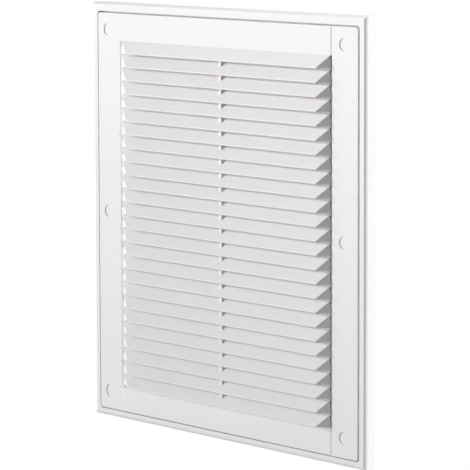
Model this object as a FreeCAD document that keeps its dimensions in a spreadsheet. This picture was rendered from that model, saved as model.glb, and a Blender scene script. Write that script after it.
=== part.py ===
import FreeCAD, Part
import math
import os
import Sketcher

# A moulded plastic wall grille: a frame that is screwed to the wall around a duct, and a louvre panel
# that snaps into it. X runs along the width, Z is up, and the front faces -Y. The origin is at the
# middle of the frame's back, on the wall.

doc = FreeCAD.newDocument("VentilationGrille")

# Driving dimensions in millimetres, with what each one is
SIZES = [
    ("width", 250.0, "frame, outside width"),
    ("height", 250.0, "frame, outside height"),
    ("depth", 6.2, "frame, wall to front face"),
    ("rim", 5.5, "front rim above and beside the panel"),
    ("foot_rim", 4.2, "front rim below the panel"),
    ("wall", 2.0, "frame's outer wall"),
    ("edge_round", 2.0, "rounding of the rim's front edge"),
    ("lip_round", 0.15, "rounding of the rim's inner edge and the panel's edge"),
    ("seat_thick", 1.6, "seat that the panel lies on"),
    ("collar_wall", 1.6, "collar around the duct opening"),
    ("collar_clear", 0.5, "clearance between the panel's spigot and the collar"),
    ("play_wide", 0.95, "clearance on each side of a centred panel"),
    ("play_high", 0.6, "clearance above and below a centred panel"),
    ("panel_left", 0.4, "how far the panel lies to the left in its play"),
    ("panel_down", 0.2, "how far the panel lies low in its play"),
    ("panel_thick", 2.0, "panel plate"),
    ("panel_corner", 1.5, "rounding of the panel's corners"),
    ("side_strip", 23.3, "plain strip beside the louvres"),
    ("top_strip", 16.8, "plain strip above the louvres"),
    ("foot_strip", 15.0, "least plain strip below the louvres"),
    ("band_proud", 0.1, "how far the middle band stands proud of the side strips"),
    ("band_inset", 0.3, "band's edge to the louvre opening's edge"),
    ("mouth_round", 0.8, "rounding beside the louvre opening"),
    ("slat_pitch", 8.0, "from slat to slat"),
    ("slat_drop", 7.4, "height of a slat's face"),
    ("slat_reach", 3.6, "how far a slat stands out of the panel"),
    ("slat_root", 1.7, "how far the slats and the spigot stand out of the panel's back"),
    ("slat_thick", 1.4, "slat plate"),
    ("slat_taper", 9.2, "how much shorter a slat is at its lower edge, each end"),
    ("foot_lap", 1.2, "how much the sill below the last slat covers"),
    ("spigot_wall", 1.4, "spigot around the slats behind the panel"),
    ("gutter_wide", 0.6, "groove between the slats' ends and the side strips"),
    ("gutter_deep", 1.0, "depth of that groove"),
    ("rib_wide", 2.2, "rib across the slats' middles"),
    ("rib_proud", 1.4, "how far the rib stands out of the panel"),
    ("screw_side", 17.0, "from the frame's side to the screw holes"),
    ("screw_end", 16.0, "from the frame's top or foot to the corner screw holes"),
    ("screw_hole", 4.4, "screw hole"),
    ("screw_head", 8.0, "countersink"),
    ("boss", 9.6, "screw boss, outside"),
    ("web", 1.4, "web that joins a boss to the walls"),
    ("mark", 6.8, "round mark over each screw hole"),
    ("mark_deep", 0.2, "depth of the mark"),
    ("mark_left", 1.6, "how far the marks lie to the left of the screw holes"),
    ("snap_count", 3, "snap ridges on each side"),
    ("snap_span", 75.0, "from snap ridge to snap ridge"),
    ("snap_long", 8.0, "snap ridge's length"),
    ("snap_high", 0.8, "snap ridge's height, front to back"),
    ("snap_bite", 0.3, "how far a ridge reaches into the panel's edge"),
    ("snap_clear", 0.15, "clearance around a ridge in its groove"),
]

sheet = doc.addObject("Spreadsheet::Sheet", "Sizes")
for row, (alias, value, meaning) in enumerate(SIZES, start=1):
    sheet.set(f"A{row}", str(value))
    sheet.setAlias(f"A{row}", alias)
    sheet.set(f"B{row}", meaning)
doc.recompute()

# Formulas that several features share
HALF_RECESS_WIDE = "(Sizes.width / 2 - Sizes.rim)"
RECESS_TOP = "(Sizes.height / 2 - Sizes.rim)"
RECESS_FOOT = "(Sizes.foot_rim - Sizes.height / 2)"
HALF_PANEL_WIDE = f"({HALF_RECESS_WIDE} - Sizes.play_wide)"
PANEL_TOP = f"({RECESS_TOP} - Sizes.play_high)"
PANEL_FOOT = f"({RECESS_FOOT} + Sizes.play_high)"
HALF_MOUTH = f"({HALF_RECESS_WIDE} - Sizes.side_strip)"
MOUTH_TOP = f"({RECESS_TOP} - Sizes.top_strip)"
LOUVRE_SPACE = f"({MOUTH_TOP} - {RECESS_FOOT} - Sizes.foot_strip)"
SLAT_COUNT = f"floor({LOUVRE_SPACE} / Sizes.slat_pitch)"
LAST_FOOT = f"({MOUTH_TOP} - {SLAT_COUNT} * Sizes.slat_pitch)"
MOUTH_FOOT = f"({LAST_FOOT} + Sizes.foot_lap)"
SEAT = "(Sizes.depth - Sizes.panel_thick)"
CHANNEL = f"({SEAT} - Sizes.seat_thick)"
BAND_FRONT = "(Sizes.depth + Sizes.band_proud)"
ROOT = f"({SEAT} - Sizes.slat_root)"
SLOPE = "atan(Sizes.slat_reach / Sizes.slat_drop)"
RISE = "(Sizes.slat_drop / Sizes.slat_reach)"
SNAP_MIDDLE = "(Sizes.depth - Sizes.panel_thick / 2)"
SCREW_X = "(Sizes.width / 2 - Sizes.screw_side)"
SCREW_Z = "(Sizes.height / 2 - Sizes.screw_end)"


def size(alias):
    """A driving dimension's value."""
    return float(sheet.get(alias))


def new_body(label):
    """An empty body whose label names its file."""
    body = doc.addObject("PartDesign::Body", label)
    body.Label = label
    return body


def origin_feature(body, role):
    """One of the body's own origin planes or axes."""
    return next(item for item in body.Origin.OriginFeatures if item.Role == role)


def new_sketch(body, name, role, offset=None):
    """A sketch on one of the body's origin planes, moved along the plane's normal by a formula."""
    sketch = body.newObject("Sketcher::SketchObject", name)
    sketch.AttachmentSupport = [(origin_feature(body, role), "")]
    sketch.MapMode = "FlatFace"
    if offset:
        sketch.setExpression("AttachmentOffset.Base.z", offset)
    return sketch


def bind_point(sketch, geometry, point, x, y):
    """Tie a point of the sketch to two formulas."""
    place = sketch.getPoint(geometry, point)
    for kind, value, formula in (("DistanceX", place.x, x), ("DistanceY", place.y, y)):
        index = sketch.addConstraint(Sketcher.Constraint(kind, geometry, point, value))
        sketch.setExpression(f"Constraints[{index}]", formula)


def add_polygon(sketch, corners):
    """A closed outline of straight lines, each corner tied to its two formulas."""
    first = sketch.GeometryCount
    count = len(corners)
    turn = 2 * math.pi / count
    ring = [FreeCAD.Vector(10 * math.cos(i * turn), 10 * math.sin(i * turn), 0) for i in range(count)]
    for i in range(count):
        sketch.addGeometry(Part.LineSegment(ring[i], ring[(i + 1) % count]))
    for i in range(count):
        sketch.addConstraint(Sketcher.Constraint("Coincident", first + i, 2, first + (i + 1) % count, 1))
    for i, (x, y) in enumerate(corners):
        bind_point(sketch, first + i, 1, x, y)


def add_rectangle(sketch, left, foot, right, top):
    """A rectangle between four formulas."""
    add_polygon(sketch, [(left, foot), (right, foot), (right, top), (left, top)])


def add_circle(sketch, x, y, radius):
    """A circle whose middle and radius follow formulas."""
    circle = Part.Circle(FreeCAD.Vector(1, 1, 0), FreeCAD.Vector(0, 0, 1), 2)
    geometry = sketch.addGeometry(circle)
    bind_point(sketch, geometry, 3, x, y)
    index = sketch.addConstraint(Sketcher.Constraint("Radius", geometry, 2.0))
    sketch.setExpression(f"Constraints[{index}]", radius)


def pad(body, name, sketch, length, both_ways=False):
    """Material from the sketch towards its normal, or to both sides of it."""
    feature = body.newObject("PartDesign::Pad", name)
    feature.Profile = sketch
    if both_ways:
        feature.SideType = "Symmetric"
    feature.setExpression("Length", length)
    return feature


def pocket(body, name, sketch, length=None, along_normal=False, both_ways=False):
    """A cut away from the sketch's normal, along it or to both sides, through all without a length."""
    feature = body.newObject("PartDesign::Pocket", name)
    feature.Profile = sketch
    feature.Reversed = along_normal
    if both_ways:
        feature.SideType = "Symmetric"
    if length:
        feature.setExpression("Length", length)
    else:
        feature.Type = "ThroughAll"
    return feature


def dress(body, kind, name, base, edge_names, prop, formula):
    """A fillet or chamfer of named edges of a feature."""
    feature = body.newObject(f"PartDesign::{kind}", name)
    feature.Base = (base, edge_names)
    feature.setExpression(prop, formula)
    return feature


def edges_where(feature, test):
    """Names of the edges whose bounding box passes a test."""
    doc.recompute()
    return [f"Edge{i}" for i, edge in enumerate(feature.Shape.Edges, start=1) if test(edge)]


def runs_along_depth(edge):
    """True for a straight edge from back to front."""
    box = edge.BoundBox
    return box.YLength > 0.5 and box.XLength < 1e-6 and box.ZLength < 1e-6


def lies_at_depth(edge, y):
    """True for an edge that lies in the plane at the given Y."""
    box = edge.BoundBox
    return abs(box.YMin - y) < 1e-6 and abs(box.YMax - y) < 1e-6


def pattern(body, name, originals, axis_role, step, count, reverse=False):
    """Copies of features in a row along an origin axis."""
    feature = body.newObject("PartDesign::LinearPattern", name)
    feature.Originals = originals
    feature.Direction = (origin_feature(body, axis_role), [""])
    feature.Reversed = reverse
    feature.Mode = "Spacing"
    feature.setExpression("Offset", step)
    feature.setExpression("Occurrences", count)
    body.Tip = feature
    return feature


def screw_places(shift="0"):
    """The six places of screws as formulas, moved to the left: four corners and two at mid height."""
    places = [(side, level) for side in (-1, 1) for level in (-1, 0, 1)]
    return [(f"{side} * {SCREW_X} - {shift}", f"{level} * {SCREW_Z}") for side, level in places]


def add_snaps(body, name, bite, clearance, shift="0"):
    """Sketch of the snap ridge's section on both long sides, lowest ridge of the row."""
    lowest = "-(Sizes.snap_count - 1) / 2 * Sizes.snap_span"
    sketch = new_sketch(body, name, "XY_Plane", lowest)
    half_high = f"(Sizes.snap_high / 2 + {clearance})"
    for side in (-1, 1):
        root = f"{side} * {HALF_RECESS_WIDE}"
        tip = f"{side} * ({HALF_PANEL_WIDE} - {bite}) - {shift}"
        add_polygon(sketch, [
            (root, f"-({SNAP_MIDDLE} + {half_high})"),
            (tip, f"-({SNAP_MIDDLE} + {half_high} / 2)"),
            (tip, f"-({SNAP_MIDDLE} - {half_high} / 2)"),
            (root, f"-({SNAP_MIDDLE} - {half_high})"),
        ])
    return sketch


def build_frame():
    """The surround: rim, outer wall, seat for the panel, collar, screw bosses and snap ridges."""
    body = new_body("outer_frame")
    depth = size("depth")
    recess_side = size("width") / 2 - size("rim")
    recess_top = size("height") / 2 - size("rim")
    recess_foot = size("foot_rim") - size("height") / 2

    outline = new_sketch(body, "FrameOutline", "XZ_Plane")
    add_rectangle(outline, "-Sizes.width / 2", "-Sizes.height / 2", "Sizes.width / 2", "Sizes.height / 2")
    block = pad(body, "FrameBlock", outline, "Sizes.depth")
    front = edges_where(block, lambda edge: lies_at_depth(edge, -depth))
    dress(body, "Fillet", "FrontEdge", block, front, "Radius", "Sizes.edge_round")

    recess = new_sketch(body, "RecessOutline", "XZ_Plane", "Sizes.depth")
    add_rectangle(recess, f"-{HALF_RECESS_WIDE}", RECESS_FOOT, HALF_RECESS_WIDE, RECESS_TOP)
    seat = pocket(body, "Seat", recess, "Sizes.panel_thick")
    seat_y = size("panel_thick") - depth

    def inside_recess(edge):
        box = edge.BoundBox
        across = max(-box.XMin, box.XMax) < recess_side + 1e-6
        return across and box.ZMax < recess_top + 1e-6 and box.ZMin > recess_foot - 1e-6

    def inner_corner(edge):
        return runs_along_depth(edge) and inside_recess(edge)

    seat_corners = dress(
        body, "Fillet", "SeatCorners", seat, edges_where(seat, inner_corner),
        "Radius", "Sizes.panel_corner + Sizes.play_high",
    )

    def lip_edge(edge):
        return lies_at_depth(edge, -depth) and inside_recess(edge)

    dress(
        body, "Fillet", "LipEdge", seat_corners, edges_where(seat_corners, lip_edge),
        "Radius", "Sizes.lip_round",
    )

    duct = new_sketch(body, "DuctOutline", "XZ_Plane", SEAT)
    half_duct = f"({HALF_MOUTH} + Sizes.spigot_wall + Sizes.play_wide + Sizes.collar_clear)"
    duct_foot = f"({MOUTH_FOOT} - Sizes.spigot_wall - Sizes.play_high - Sizes.collar_clear)"
    duct_top = f"({MOUTH_TOP} + Sizes.spigot_wall + Sizes.play_high + Sizes.collar_clear)"
    add_rectangle(duct, f"-{half_duct}", duct_foot, half_duct, duct_top)
    pocket(body, "DuctOpening", duct)

    channel = new_sketch(body, "ChannelOutline", "XZ_Plane")
    half_inside_wide = "(Sizes.width / 2 - Sizes.wall)"
    half_inside_high = "(Sizes.height / 2 - Sizes.wall)"
    add_rectangle(
        channel, f"-{half_inside_wide}", f"-{half_inside_high}", half_inside_wide, half_inside_high,
    )
    add_rectangle(
        channel, f"-({half_duct} + Sizes.collar_wall)", f"{duct_foot} - Sizes.collar_wall",
        f"{half_duct} + Sizes.collar_wall", f"{duct_top} + Sizes.collar_wall",
    )
    pocket(body, "Channel", channel, CHANNEL, along_normal=True)

    bosses = new_sketch(body, "BossCircles", "XZ_Plane")
    for x, z in screw_places():
        add_circle(bosses, x, z, "Sizes.boss / 2")
    pad(body, "Bosses", bosses, CHANNEL)

    webs = new_sketch(body, "WebOutlines", "XZ_Plane")
    for side in (-1, 1):
        for level in (-1, 0, 1):
            inner = f"{side} * ({half_duct} + Sizes.collar_wall / 2)"
            outer = f"{side} * ({half_inside_wide} + Sizes.wall / 2)"
            middle = f"{level} * {SCREW_Z}"
            left, right = (inner, outer) if side > 0 else (outer, inner)
            add_rectangle(webs, left, f"{middle} - Sizes.web / 2", right, f"{middle} + Sizes.web / 2")
    pad(body, "Webs", webs, CHANNEL)

    holes = new_sketch(body, "ScrewHoles", "XZ_Plane", SEAT)
    for x, z in screw_places():
        add_circle(holes, x, z, "Sizes.screw_hole / 2")
    drilled = pocket(body, "Screws", holes)
    hole_radius = size("screw_hole") / 2

    def hole_mouth(edge):
        round_edge = isinstance(edge.Curve, Part.Circle) and abs(edge.Curve.Radius - hole_radius) < 1e-6
        return round_edge and lies_at_depth(edge, seat_y)

    dress(
        body, "Chamfer", "Countersinks", drilled, edges_where(drilled, hole_mouth),
        "Size", "(Sizes.screw_head - Sizes.screw_hole) / 2",
    )
    doc.recompute()
    ridge_section = add_snaps(body, "RidgeSection", "Sizes.snap_bite", "0", "Sizes.panel_left")
    ridge = pad(body, "SnapRidge", ridge_section, "Sizes.snap_long", both_ways=True)
    pattern(body, "SnapRidges", [ridge], "Z_Axis", "Sizes.snap_span", "Sizes.snap_count")
    return body


def add_slat_section(sketch):
    """A sloping plate with a round nose: front face, nose, back face and root, in the YZ plane."""
    run = "(sqrt(Sizes.slat_reach ^ 2 + Sizes.slat_drop ^ 2) - Sizes.slat_thick / 2)"
    nose_y = f"-({BAND_FRONT} + {run} * sin({SLOPE}))"
    nose_z = f"{MOUTH_TOP} - {run} * cos({SLOPE})"
    root_z = f"{MOUTH_TOP} + ({BAND_FRONT} - {ROOT}) * {RISE}"
    corners = [
        (f"-{ROOT}", root_z),
        (nose_y, nose_z),
        (f"{nose_y} + Sizes.slat_thick * cos({SLOPE})", f"{nose_z} - Sizes.slat_thick * sin({SLOPE})"),
        (f"-{ROOT}", f"{root_z} - Sizes.slat_thick / sin({SLOPE})"),
    ]
    # The outline starts out near its place, so that the nose's arc bulges outwards
    slope = math.atan2(size("slat_reach"), size("slat_drop"))
    along = FreeCAD.Vector(-math.sin(slope), -math.cos(slope), 0)
    across = FreeCAD.Vector(math.cos(slope), -math.sin(slope), 0) * size("slat_thick")
    tip = FreeCAD.Vector(-size("depth"), 0, 0) + along * size("slat_drop")
    top = FreeCAD.Vector(-size("depth"), 0, 0) - along * size("panel_thick")
    sketch.addGeometry(Part.LineSegment(top, tip))
    sketch.addGeometry(Part.LineSegment(tip + across, top + across))
    sketch.addGeometry(Part.LineSegment(top + across, top))
    sketch.addGeometry(Part.Arc(tip, tip + across / 2 + along * size("slat_thick") / 2, tip + across))
    front, back, root, nose = range(4)
    sketch.addConstraint([
        Sketcher.Constraint("Coincident", back, 2, root, 1),
        Sketcher.Constraint("Coincident", root, 2, front, 1),
        Sketcher.Constraint("Tangent", front, 2, nose, 1),
        Sketcher.Constraint("Coincident", nose, 2, back, 1),
    ])
    bind_point(sketch, front, 1, *corners[0])
    bind_point(sketch, front, 2, *corners[1])
    bind_point(sketch, back, 1, *corners[2])
    bind_point(sketch, back, 2, *corners[3])


def add_sill_section(sketch):
    """The root of one more slat, which closes the view under the last one, in the YZ plane."""
    front_z = f"({LAST_FOOT} + Sizes.band_proud * {RISE})"
    root_z = f"({LAST_FOOT} + ({BAND_FRONT} - {ROOT}) * {RISE})"
    thick = f"Sizes.slat_thick / sin({SLOPE})"
    add_polygon(sketch, [
        ("-Sizes.depth", front_z),
        ("-Sizes.depth", f"{front_z} - {thick}"),
        (f"-{ROOT}", f"{root_z} - {thick}"),
        (f"-{ROOT}", root_z),
    ])


def build_panel():
    """The front panel with its strips, middle band, slats, rib, spigot, round marks and snap grooves."""
    body = new_body("louvre_panel")
    body.setExpression("Placement.Base.x", "-Sizes.panel_left")
    body.setExpression("Placement.Base.z", "-Sizes.panel_down")
    depth = size("depth")
    half_mouth = size("width") / 2 - size("rim") - size("side_strip")

    outline = new_sketch(body, "PlateOutline", "XZ_Plane", SEAT)
    add_rectangle(outline, f"-{HALF_PANEL_WIDE}", PANEL_FOOT, HALF_PANEL_WIDE, PANEL_TOP)
    plate = pad(body, "Plate", outline, "Sizes.panel_thick")
    rounded = dress(
        body, "Fillet", "PlateCorners", plate, edges_where(plate, runs_along_depth),
        "Radius", "Sizes.panel_corner",
    )
    front = edges_where(rounded, lambda edge: lies_at_depth(edge, -depth))
    dress(body, "Fillet", "PlateEdge", rounded, front, "Radius", "Sizes.lip_round")

    band = new_sketch(body, "BandOutline", "XZ_Plane", "Sizes.depth")
    half_band = f"({HALF_MOUTH} - Sizes.band_inset)"
    band_foot = f"{PANEL_FOOT} + Sizes.lip_round"
    band_top = f"{PANEL_TOP} - Sizes.lip_round"
    add_rectangle(band, f"-{half_band}", band_foot, half_band, band_top)
    pad(body, "Band", band, "Sizes.band_proud")

    mouth = new_sketch(body, "MouthOutline", "XZ_Plane", BAND_FRONT)
    add_rectangle(mouth, f"-{HALF_MOUTH}", MOUTH_FOOT, HALF_MOUTH, MOUTH_TOP)
    opened = pocket(body, "Mouth", mouth)

    def mouth_side(edge):
        box = edge.BoundBox
        beside = abs(abs(box.XMin) - half_mouth) < 1e-6 and box.XLength < 1e-6
        return beside and lies_at_depth(edge, -depth)

    dress(
        body, "Fillet", "MouthSides", opened, edges_where(opened, mouth_side),
        "Radius", "Sizes.mouth_round",
    )

    spigot = new_sketch(body, "SpigotOutline", "XZ_Plane", ROOT)
    half_spigot = f"({HALF_MOUTH} + Sizes.spigot_wall)"
    spigot_top = f"{MOUTH_TOP} + Sizes.spigot_wall"
    add_rectangle(spigot, f"-{half_spigot}", f"{MOUTH_FOOT} - Sizes.spigot_wall", half_spigot, spigot_top)
    add_rectangle(spigot, f"-{HALF_MOUTH}", MOUTH_FOOT, HALF_MOUTH, MOUTH_TOP)
    pad(body, "Spigot", spigot, "Sizes.slat_root")

    sill = new_sketch(body, "SillSection", "YZ_Plane")
    add_sill_section(sill)
    pad(body, "Sill", sill, f"2 * {HALF_MOUTH}", both_ways=True)

    section = new_sketch(body, "SlatSection", "YZ_Plane")
    add_slat_section(section)
    slat = pad(body, "Slat", section, f"2 * {HALF_MOUTH}", both_ways=True)

    ends = new_sketch(body, "SlatEnds", "XZ_Plane", BAND_FRONT)
    tip_z = f"({MOUTH_TOP} - Sizes.slat_drop)"
    below_tip = f"({tip_z} - (Sizes.slat_pitch - Sizes.slat_drop) / 2)"
    for side in (-1, 1):
        shoulder = f"{side} * ({HALF_MOUTH} - Sizes.gutter_wide)"
        tip = f"{side} * ({HALF_MOUTH} - Sizes.slat_taper)"
        outside = f"{side} * ({HALF_MOUTH} + Sizes.gutter_wide)"
        add_polygon(ends, [
            (shoulder, MOUTH_TOP), (outside, MOUTH_TOP), (outside, below_tip), (tip, below_tip), (tip, tip_z),
        ])
    cut_ends = pocket(body, "EndCuts", ends, along_normal=True)
    pattern(body, "Slats", [slat, cut_ends], "Z_Axis", "Sizes.slat_pitch", SLAT_COUNT, reverse=True)

    trim = new_sketch(body, "RootTrimOutline", "XZ_Plane", SEAT)
    trim_top = f"{MOUTH_TOP} + ({BAND_FRONT} - {ROOT}) * {RISE} + Sizes.slat_thick"
    add_rectangle(trim, f"-{half_spigot}", spigot_top, half_spigot, trim_top)
    pocket(body, "RootTrim", trim)

    gutters = new_sketch(body, "GutterOutlines", "XZ_Plane", BAND_FRONT)
    for side in (-1, 1):
        inner = f"{side} * ({HALF_MOUTH} - Sizes.gutter_wide)"
        outer = f"{side} * {HALF_MOUTH}"
        left, right = (inner, outer) if side > 0 else (outer, inner)
        add_rectangle(gutters, left, MOUTH_FOOT, right, MOUTH_TOP)
    pocket(body, "Gutters", gutters, "Sizes.band_proud + Sizes.gutter_deep")

    rib = new_sketch(body, "RibOutline", "XZ_Plane", SEAT)
    rib_top = f"({MOUTH_TOP} - Sizes.rib_proud * Sizes.slat_drop / Sizes.slat_reach)"
    add_rectangle(rib, "-Sizes.rib_wide / 2", MOUTH_FOOT, "Sizes.rib_wide / 2", rib_top)
    pad(body, "Rib", rib, "Sizes.panel_thick + Sizes.band_proud + Sizes.rib_proud")

    marks = new_sketch(body, "MarkCircles", "XZ_Plane", "Sizes.depth")
    for x, z in screw_places("Sizes.mark_left"):
        add_circle(marks, x, z, "Sizes.mark / 2")
    pocket(body, "Marks", marks, "Sizes.mark_deep")

    groove_bite = "(Sizes.snap_bite + Sizes.snap_clear)"
    groove_section = add_snaps(body, "GrooveSection", groove_bite, "Sizes.snap_clear")
    groove_long = "Sizes.snap_long + 2 * (Sizes.snap_clear + Sizes.panel_down)"
    groove = pocket(body, "SnapGroove", groove_section, groove_long, both_ways=True)
    pattern(body, "SnapGrooves", [groove], "Z_Axis", "Sizes.snap_span", "Sizes.snap_count")
    return body


bodies = [build_frame(), build_panel()]
doc.recompute()

for item in doc.Objects:
    if "Invalid" in item.State or "Error" in item.State:
        raise RuntimeError(f"{item.Name} did not build: {item.State}")
for body in bodies:
    if body.Shape.isNull() or not body.Shape.isValid() or len(body.Shape.Solids) != 1:
        raise RuntimeError(f"{body.Label} is not one valid solid")

os.makedirs("parts", exist_ok=True)
for body in bodies:
    body.Shape.exportStep(f"parts/{body.Label}.step")
    box = body.Shape.BoundBox
    print(body.Label, f"volume {body.Shape.Volume:.0f} mm3", box)
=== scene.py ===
import math

import bmesh
import bpy
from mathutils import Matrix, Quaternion, Vector


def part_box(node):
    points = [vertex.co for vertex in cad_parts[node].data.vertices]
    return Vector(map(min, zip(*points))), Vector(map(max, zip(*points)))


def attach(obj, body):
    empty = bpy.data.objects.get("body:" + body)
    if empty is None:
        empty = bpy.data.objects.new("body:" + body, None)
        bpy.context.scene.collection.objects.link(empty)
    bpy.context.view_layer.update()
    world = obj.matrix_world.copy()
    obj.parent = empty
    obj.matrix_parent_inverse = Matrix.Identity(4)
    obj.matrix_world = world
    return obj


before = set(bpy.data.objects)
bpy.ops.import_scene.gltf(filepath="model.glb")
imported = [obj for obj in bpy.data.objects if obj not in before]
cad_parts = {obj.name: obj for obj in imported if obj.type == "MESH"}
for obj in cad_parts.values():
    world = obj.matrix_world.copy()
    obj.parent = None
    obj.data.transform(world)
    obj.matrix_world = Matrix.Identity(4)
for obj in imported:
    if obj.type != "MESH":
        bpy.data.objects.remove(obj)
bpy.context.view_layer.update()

# A white plastic louvred wall grille, seen from its upper right.
# Lengths are in metres and powers in watts.

# The slats of the panel: their field's middle, and one slat's shape
PANEL_LOW, PANEL_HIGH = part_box("louvre_panel")
PANEL_MIDDLE = (PANEL_LOW[0] + PANEL_HIGH[0]) / 2
BAND_FRONT = -0.0063
SLAT_COUNT = 26
SLAT_PITCH = 0.008
SLAT_DROP = 0.0074
SLAT_REACH = 0.0036
FIRST_SLAT_TOP = 0.1025
SHOULDER_HALF_WIDE = 0.0956
TIP_HALF_WIDE = 0.0870

# The closed ends of the slats, and the flat ledges between them and the left side strip
LEFT, RIGHT = -1, 1
LEDGE_WIDE = {LEFT: 0.0029, RIGHT: 0.0}
STRIP_EDGE_HALF_WIDE = 0.09618
END_SINK = 0.0005
LEDGE_SINK = 0.0004
END_FOOT_ROUND = 0.0006
FOOT_ROUND_STEPS = 4

# How near two places are to count as one
NEAR = 1e-6

# Camera, fitted to the outline and the slats in the photograph
CAMERA_PLACE = Vector((1.4566, -1.1701, 0.2112))
CAMERA_AZIMUTH = math.radians(51.16)
CAMERA_DROP = math.radians(6.62)
CAMERA_ROLL = math.radians(0.173)
PHOTO_SIDE_PX = 470
FOCAL_PX = 3264.1
SENSOR_MM = 36.0
NEAREST_SEEN = 0.05
FARTHEST_SEEN = 50.0

# Soft lamps: name, place, aim, width, height and power
SOFT_LAMPS = (
    ("left_tall", (-8.42, -3.15, -0.18), (0.0, 0.0, 0.0), 1.44, 3.96, 805.0),
    ("right_side", (1.93, 0.42, 0.25), (0.12, 0.0, 0.0), 0.90, 0.90, 30.0),
    ("above", (0.12, 0.13, 0.80), (0.03, 0.0, 0.0), 0.50, 0.50, 2.4),
)

# A soft spot from the left, aimed past the grille so that its light grows upwards and to the right
SPOT_PLACE = (-2.75, -1.06, 0.57)
SPOT_AIM = (1.10, 0.0, 0.07)
SPOT_RADIUS = 0.22
SPOT_POWER = 690.0
SPOT_CONE = math.radians(14.0)
SPOT_SOFTNESS = 1.0

# The surround, and a plain floor below the photograph's view
WHITE = (1.0, 1.0, 1.0, 1.0)
SURROUND_STRENGTH = 0.235
BACKGROUND_STRENGTH = 1.0
FLOOR_HEIGHT = -0.60
FLOOR_SIDE = 1.60
FLOOR_COLOURS = ((0.80, 0.80, 0.79, 1.0), (0.84, 0.84, 0.83, 1.0))
FLOOR_CLOUD_SCALE = 3.0
FLOOR_ROUGHNESS = 0.7

# The satin white plastic: its two tones, its gloss, and the grain and waves of its surface
PLASTIC_COLOUR = (0.875, 0.853, 0.852, 1.0)
PLASTIC_SHADE = (0.853, 0.830, 0.832, 1.0)
PLASTIC_IOR = 1.49
CLOUD_SCALE = 22.0
CLOUD_DETAIL = 3.0
CLOUD_START = 0.35
CLOUD_CONTRAST = 1.6
LEAST_ROUGHNESS = 0.50
ROUGHNESS_SPREAD = 0.10
SOFT_EDGE_RADIUS = 0.0003
SOFT_EDGE_SAMPLES = 6
GRAIN_SCALE = 2600.0
GRAIN_SHARE = 0.4
WAVE_SCALE = 60.0
BUMP_STRENGTH = 0.06
BUMP_DEPTH = 0.0004

# The places of a colour Mix node's sockets
MIX_FACTOR, MIX_LOW, MIX_HIGH, MIX_RESULT = 0, 6, 7, 2


class Field:
    """A shader socket that adds Math nodes when it meets an operator."""

    def __init__(self, shader, socket):
        self.shader = shader
        self.socket = socket

    def _math(self, operation, *values):
        node = self.shader.node("ShaderNodeMath", {"operation": operation})
        for place, value in enumerate(values):
            self.shader.feed(node.inputs[place], value)
        return Field(self.shader, node.outputs[0])

    def __add__(self, other):
        return self._math("ADD", self, other)

    def __sub__(self, other):
        return self._math("SUBTRACT", self, other)

    def __mul__(self, other):
        return self._math("MULTIPLY", self, other)

    def __or__(self, other):
        return self._math("MAXIMUM", self, other)


class Shader:
    """The node tree of a material or a world, with short ways to add nodes to it."""

    def __init__(self, owner):
        owner.use_nodes = True
        self.owner = owner
        self.tree = owner.node_tree

    def feed(self, socket, value):
        """Links a socket to a field or another socket, or sets it to a constant."""
        if isinstance(value, Field):
            value = value.socket
        if isinstance(value, bpy.types.NodeSocket):
            self.tree.links.new(value, socket)
        else:
            socket.default_value = value

    def node(self, kind, settings, **inputs):
        made = self.tree.nodes.new(kind)
        for setting, value in settings.items():
            setattr(made, setting, value)
        for socket, value in inputs.items():
            self.feed(made.inputs[socket], value)
        return made

    def noise(self, scale, detail=2.0):
        """Noise that is fixed to the object."""
        place = self.node("ShaderNodeTexCoord", {}).outputs["Object"]
        made = self.node("ShaderNodeTexNoise", {}, Vector=place, Scale=scale, Detail=detail)
        return Field(self, made.outputs[0])

    def blend(self, mask, low, high):
        """One colour where the mask is 0, another where it is 1."""
        made = self.node("ShaderNodeMix", {"data_type": "RGBA"})
        self.feed(made.inputs[MIX_FACTOR], mask)
        self.feed(made.inputs[MIX_LOW], low)
        self.feed(made.inputs[MIX_HIGH], high)
        return made.outputs[MIX_RESULT]

    def dress_surface(self, **inputs):
        """Feeds the sockets of the material's own surface node."""
        surface = self.tree.nodes["Principled BSDF"]
        for socket, value in inputs.items():
            self.feed(surface.inputs[socket.replace("_", " ")], value)


def moulded_plastic(name):
    """Satin white plastic with a fine grain, soft edges and faint clouds of colour and gloss."""
    shader = Shader(bpy.data.materials.new(name))
    clouds = shader.noise(CLOUD_SCALE, CLOUD_DETAIL)
    mask = (clouds - CLOUD_START) * CLOUD_CONTRAST
    soft_edge = shader.node(
        "ShaderNodeBevel", {"samples": SOFT_EDGE_SAMPLES}, Radius=SOFT_EDGE_RADIUS,
    )
    bump = shader.node(
        "ShaderNodeBump", {}, Strength=BUMP_STRENGTH, Distance=BUMP_DEPTH,
        Height=shader.noise(GRAIN_SCALE) * GRAIN_SHARE + shader.noise(WAVE_SCALE),
        Normal=soft_edge.outputs[0],
    )
    shader.dress_surface(
        Base_Color=shader.blend(mask, PLASTIC_SHADE, PLASTIC_COLOUR),
        Roughness=clouds * ROUGHNESS_SPREAD + LEAST_ROUGHNESS,
        IOR=PLASTIC_IOR,
        Normal=bump.outputs[0],
    )
    return shader.owner


def dress(piece, material):
    """Puts one material on the whole piece."""
    piece.data.materials.clear()
    piece.data.materials.append(material)


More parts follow.
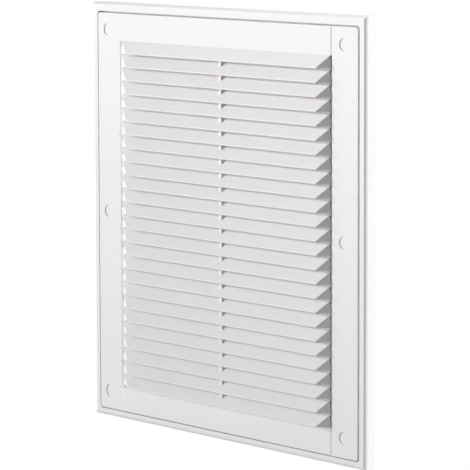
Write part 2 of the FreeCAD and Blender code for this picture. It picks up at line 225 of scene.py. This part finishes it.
def round_foot_edge(end_face, corner):
    """Rounds the edge between the end's flat face and its foot, as the slat's nose is round."""
    mesh = bmesh.from_edit_mesh(bpy.context.edit_object.data)
    normal = end_face.normalized()
    bpy.ops.mesh.select_all(action="DESELECT")
    for edge in mesh.edges:
        on_foot = all(abs(vertex.co.z - corner.z) < NEAR for vertex in edge.verts)
        on_face = all(abs((vertex.co - corner).dot(normal)) < NEAR for vertex in edge.verts)
        edge.select_set(on_foot and on_face)
    bmesh.update_edit_mesh(bpy.context.edit_object.data)
    bpy.ops.mesh.bevel(offset=END_FOOT_ROUND, segments=FOOT_ROUND_STEPS)


def add_block(name, corner, opposite):
    """A block between two opposite corners, left open for shaping."""
    low = Vector(map(min, corner, opposite))
    high = Vector(map(max, corner, opposite))
    bpy.ops.object.select_all(action="DESELECT")
    bpy.ops.mesh.primitive_cube_add(size=1, location=(low + high) / 2, scale=high - low)
    block = bpy.context.object
    block.name = name
    bpy.ops.object.transform_apply(location=True, rotation=True, scale=True)
    bpy.ops.object.mode_set(mode="EDIT")
    return block


def cut_away(point, normal):
    """Cuts off what lies beyond a plane, and closes the cut."""
    bpy.ops.mesh.select_all(action="SELECT")
    bpy.ops.mesh.bisect(
        plane_co=point, plane_no=normal.normalized(), use_fill=True, clear_outer=True,
    )


def close_block():
    """Ends the shaping of a block with clean outward faces."""
    bpy.ops.mesh.select_all(action="SELECT")
    bpy.ops.mesh.remove_doubles(threshold=NEAR)
    bpy.ops.mesh.normals_make_consistent(inside=False)
    bpy.ops.object.mode_set(mode="OBJECT")


def shoulder_x(side):
    """Where along the width a slat's slanting end begins, at its top."""
    return PANEL_MIDDLE + side * SHOULDER_HALF_WIDE


def cut_at_slat_side(side):
    """Cuts off what would lie in the first slat, at the slanting plane where the slat ends."""
    shoulder = Vector((shoulder_x(side), BAND_FRONT, FIRST_SLAT_TOP))
    taper = SHOULDER_HALF_WIDE - TIP_HALF_WIDE
    cut_away(shoulder, Vector((-side * SLAT_DROP, 0.0, taper)))


def add_slat_end(name, side):
    """One slat's closed end: a wedge behind its slanting edge, pointed at the top."""
    tip_x = PANEL_MIDDLE + side * TIP_HALF_WIDE
    foot_z = FIRST_SLAT_TOP - SLAT_DROP
    end = add_block(
        name,
        (shoulder_x(side), BAND_FRONT - SLAT_REACH, foot_z),
        (tip_x, BAND_FRONT + END_SINK, FIRST_SLAT_TOP),
    )
    ledge_wide = LEDGE_WIDE[side]
    face_wide = SHOULDER_HALF_WIDE - TIP_HALF_WIDE - ledge_wide
    end_face = Vector((side * SLAT_REACH, -face_wide, -SLAT_REACH * ledge_wide / SLAT_DROP))
    cut_away(Vector((shoulder_x(side), BAND_FRONT, FIRST_SLAT_TOP)), end_face)
    cut_at_slat_side(side)
    face_start = Vector((shoulder_x(side) - side * ledge_wide, BAND_FRONT, foot_z))
    round_foot_edge(end_face, face_start)
    close_block()
    return end


def add_end_ledge(name, side):
    """The flat ledge between one slat's end and the side strip."""
    strip_edge_x = PANEL_MIDDLE + side * STRIP_EDGE_HALF_WIDE
    inner_x = shoulder_x(side) - side * LEDGE_WIDE[side]
    ledge = add_block(
        name,
        (strip_edge_x, BAND_FRONT, FIRST_SLAT_TOP - SLAT_PITCH),
        (inner_x, BAND_FRONT + LEDGE_SINK, FIRST_SLAT_TOP),
    )
    cut_at_slat_side(side)
    close_block()
    return ledge


def join_pieces(pieces, name, material):
    """Makes one dressed piece of several, which moves with the grille."""
    bpy.ops.object.select_all(action="DESELECT")
    for piece in pieces:
        piece.select_set(True)
    bpy.context.view_layer.objects.active = pieces[0]
    bpy.ops.object.join()
    pieces[0].name = name
    dress(pieces[0], material)
    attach(pieces[0], "root")


def copy_lower(piece, drop):
    """A copy of a piece, with its own mesh, that hangs lower by the given drop."""
    copy = piece.copy()
    copy.data = piece.data.copy()
    copy.location.z = -drop
    bpy.context.scene.collection.objects.link(copy)
    return copy


def add_slat_ends(name, side, material):
    """The closed ends of all the slats on one side, each a copy of the first one."""
    first = [add_slat_end(name, side)]
    if LEDGE_WIDE[side]:
        first.append(add_end_ledge(name, side))
    pieces = list(first)
    for number in range(1, SLAT_COUNT):
        pieces += [copy_lower(piece, number * SLAT_PITCH) for piece in first]
    join_pieces(pieces, name, material)


def add_camera():
    """The photograph's camera."""
    data = bpy.data.cameras.new("camera")
    data.sensor_width = SENSOR_MM
    data.lens = FOCAL_PX / PHOTO_SIDE_PX * SENSOR_MM
    data.clip_start = NEAREST_SEEN
    data.clip_end = FARTHEST_SEEN
    camera = bpy.data.objects.new("camera", data)
    bpy.context.scene.collection.objects.link(camera)
    forward = Vector((
        -math.sin(CAMERA_AZIMUTH) * math.cos(CAMERA_DROP),
        math.cos(CAMERA_AZIMUTH) * math.cos(CAMERA_DROP),
        -math.sin(CAMERA_DROP),
    ))
    camera.location = CAMERA_PLACE
    camera.rotation_mode = "QUATERNION"
    level = forward.to_track_quat("-Z", "Y")
    camera.rotation_quaternion = level @ Quaternion((0, 0, 1), -CAMERA_ROLL)
    bpy.context.scene.camera = camera


def hang_lamp(name, data, place, aim):
    """Puts a lamp at its place, turned to what it lights."""
    lamp = bpy.data.objects.new(name, data)
    bpy.context.scene.collection.objects.link(lamp)
    lamp.location = place
    lamp.rotation_mode = "QUATERNION"
    lamp.rotation_quaternion = (Vector(aim) - Vector(place)).to_track_quat("-Z", "Y")


def add_soft_lamp(name, place, aim, width, height, power):
    """A soft rectangular lamp."""
    data = bpy.data.lights.new(name, "AREA")
    data.shape = "RECTANGLE"
    data.size = width
    data.size_y = height
    data.energy = power
    hang_lamp(name, data, place, aim)


def add_upper_spot():
    """A spot whose soft edge lets the light fall off towards the grille's foot."""
    data = bpy.data.lights.new("upper_spot", "SPOT")
    data.energy = SPOT_POWER
    data.shadow_soft_size = SPOT_RADIUS
    data.spot_size = SPOT_CONE
    data.spot_blend = SPOT_SOFTNESS
    hang_lamp("upper_spot", data, SPOT_PLACE, SPOT_AIM)


def add_world():
    """An even pale surround that is pure white to the camera and in reflections."""
    world = bpy.data.worlds.new("studio")
    bpy.context.scene.world = world
    shader = Shader(world)
    even = shader.tree.nodes["Background"]
    shader.feed(even.inputs["Color"], WHITE)
    shader.feed(even.inputs["Strength"], SURROUND_STRENGTH)
    white = shader.node("ShaderNodeBackground", {}, Color=WHITE, Strength=BACKGROUND_STRENGTH)
    rays = shader.node("ShaderNodeLightPath", {})
    camera, glossy, transmission = (
        Field(shader, rays.outputs[kind])
        for kind in ("Is Camera Ray", "Is Glossy Ray", "Is Transmission Ray")
    )
    mix = shader.node("ShaderNodeMixShader", {})
    sources = (camera | glossy | transmission, even.outputs[0], white.outputs[0])
    for socket, value in zip(mix.inputs, sources):
        shader.feed(socket, value)
    shader.feed(shader.tree.nodes["World Output"].inputs["Surface"], mix.outputs[0])


def add_floor():
    """A plain pale floor, below the photograph's view."""
    bpy.ops.object.select_all(action="DESELECT")
    bpy.ops.mesh.primitive_plane_add(size=FLOOR_SIDE, location=(0, 0, FLOOR_HEIGHT))
    floor = bpy.context.object
    floor.name = "floor"
    bpy.ops.object.transform_apply(location=True, rotation=True, scale=True)
    shader = Shader(bpy.data.materials.new("pale_floor"))
    shader.dress_surface(
        Base_Color=shader.blend(shader.noise(FLOOR_CLOUD_SCALE), *FLOOR_COLOURS),
        Roughness=FLOOR_ROUGHNESS,
    )
    dress(floor, shader.owner)


add_camera()
add_world()
add_floor()
add_upper_spot()
for lamp in SOFT_LAMPS:
    add_soft_lamp(*lamp)
frame_white = moulded_plastic("frame_white")
panel_white = moulded_plastic("panel_white")
dress(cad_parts["outer_frame"], frame_white)
dress(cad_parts["louvre_panel"], panel_white)
add_slat_ends("slat_ends_left", LEFT, panel_white)
add_slat_ends("slat_ends_right", RIGHT, panel_white)
bpy.context.scene.view_settings.view_transform = "Standard"
